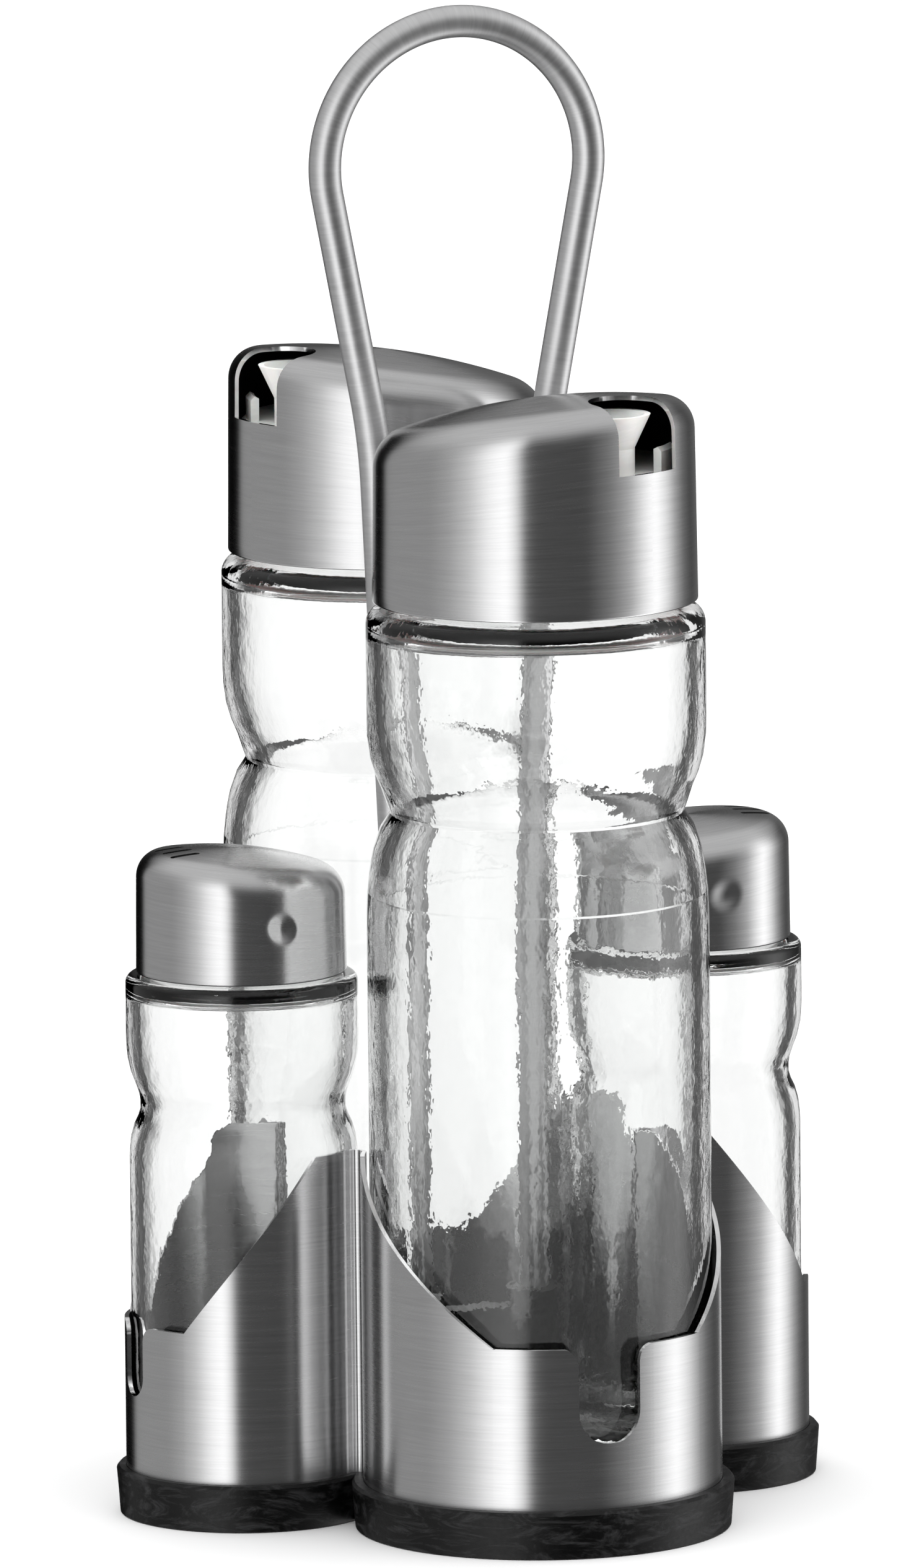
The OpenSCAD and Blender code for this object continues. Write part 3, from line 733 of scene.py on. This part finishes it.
# ---------------------------------------------------------------- light
# brightness of the studio round the object: degrees from the front, brightness
SOFT_BOXES = [
    (-180, 0.0), (-160, 0.0), (-152, 0.4), (-102, 0.4), (-86, 0.55), (-70, 0.9), (-54, 1.6), (-42, 1.9),
    (-35, 1.3), (-29, 0.12), (-20, 0.08), (16, 0.07), (34, 0.26), (50, 0.6), (64, 1.4), (74, 1.9), (86, 1.3),
    (98, 0.55), (110, 0.2), (124, 0.08), (150, 0.16), (166, 0.02), (180, 0.0),
]
BACKDROP = [
    (-180, 0.4), (-174, 0.08), (-157, 0.05), (-146, 0.5), (-120, 0.9), (-40, 1.0), (40, 1.0), (84, 0.8),
    (102, 0.4), (114, 0.05), (129, 0.08), (137, 0.95), (143, 1.12), (172, 1.12), (180, 0.4),
]
BRIGHTEST = 2.0
CEILING = 0.75
PLAIN_BACKGROUND = 1.1

world = bpy.data.worlds.new("studio")
scene.world = world
world.use_nodes = True
wnt = world.node_tree
wnt.nodes.clear()


def round_ramp(fac, stops):
    return ramp(wnt, fac, [((a + 180) / 360, (v / BRIGHTEST,) * 3) for a, v in stops])


def mix_node(fac, a, b):
    n = wnt.nodes.new("ShaderNodeMix")
    n.data_type = "RGBA"
    wnt.links.new(fac, n.inputs["Factor"])
    for key, v in (("A", a), ("B", b)):
        socket = [i for i in n.inputs if i.name == key and i.type == "RGBA"][0]
        if isinstance(v, (int, float)):
            socket.default_value = (v, v, v, 1)
        else:
            wnt.links.new(v, socket)
    return [o for o in n.outputs if o.type == "RGBA"][0]


way = wnt.nodes.new("ShaderNodeTexCoord")
xyz = wnt.nodes.new("ShaderNodeSeparateXYZ")
wnt.links.new(way.outputs["Generated"], xyz.inputs[0])
turn = math_node(wnt, "ARCTAN2", xyz.outputs[0], math_node(wnt, "MULTIPLY", xyz.outputs[1], -1.0))
fac = math_node(wnt, "ADD", math_node(wnt, "DIVIDE", turn, 2 * math.pi), 0.5)
high = ramp(wnt, xyz.outputs[2], [(0.3, (0, 0, 0)), (0.75, (1, 1, 1))])
room = mix_node(high, round_ramp(fac, SOFT_BOXES), CEILING / BRIGHTEST)
ray = wnt.nodes.new("ShaderNodeLightPath")
seen = mix_node(ray.outputs["Is Transmission Ray"], room, round_ramp(fac, BACKDROP))
seen = mix_node(ray.outputs["Is Camera Ray"], seen, PLAIN_BACKGROUND / BRIGHTEST)
bg = wnt.nodes.new("ShaderNodeBackground")
wnt.links.new(seen, bg.inputs["Color"])
bg.inputs["Strength"].default_value = BRIGHTEST
wout = wnt.nodes.new("ShaderNodeOutputWorld")
wnt.links.new(bg.outputs[0], wout.inputs[0])

sky = bpy.data.lights.new("overhead_soft_light", "SUN")
sky.energy = 2.6
sky.angle = math.radians(110)
sky_ob = bpy.data.objects.new("overhead_soft_light", sky)
scene.collection.objects.link(sky_ob)
sky_ob.visible_glossy = False

# ---------------------------------------------------------------- camera
CAM_TURN = math.radians(-21.98)
CAM_UP = math.radians(9.08)
CAM_ROLL = math.radians(-0.56)
CAM_DISTANCE = 3.558
LOOK_AT_Z = 0.1316
cam = bpy.data.cameras.new("camera")
cam_ob = bpy.data.objects.new("camera", cam)
scene.collection.objects.link(cam_ob)
ahead = math.cos(CAM_UP)
back = Vector((math.sin(CAM_TURN) * ahead, -math.cos(CAM_TURN) * ahead, math.sin(CAM_UP)))
right = Vector((math.cos(CAM_TURN), math.sin(CAM_TURN), 0))
up = back.cross(right)
across = right * math.cos(CAM_ROLL) + up * math.sin(CAM_ROLL)
upright = up * math.cos(CAM_ROLL) - right * math.sin(CAM_ROLL)
stand_at = Vector((0, 0, LOOK_AT_Z)) + back * CAM_DISTANCE
turned = Matrix((across, upright, back)).transposed().to_4x4()
cam_ob.matrix_world = Matrix.Translation(stand_at) @ turned
cam.sensor_width = 36
cam.lens = 442.7
cam.shift_x = -0.0077
cam.shift_y = 0.0025
cam.clip_start, cam.clip_end = 0.1, 100
cam.dof.use_dof = False
scene.camera = cam_ob
scene.view_settings.view_transform = "Standard"
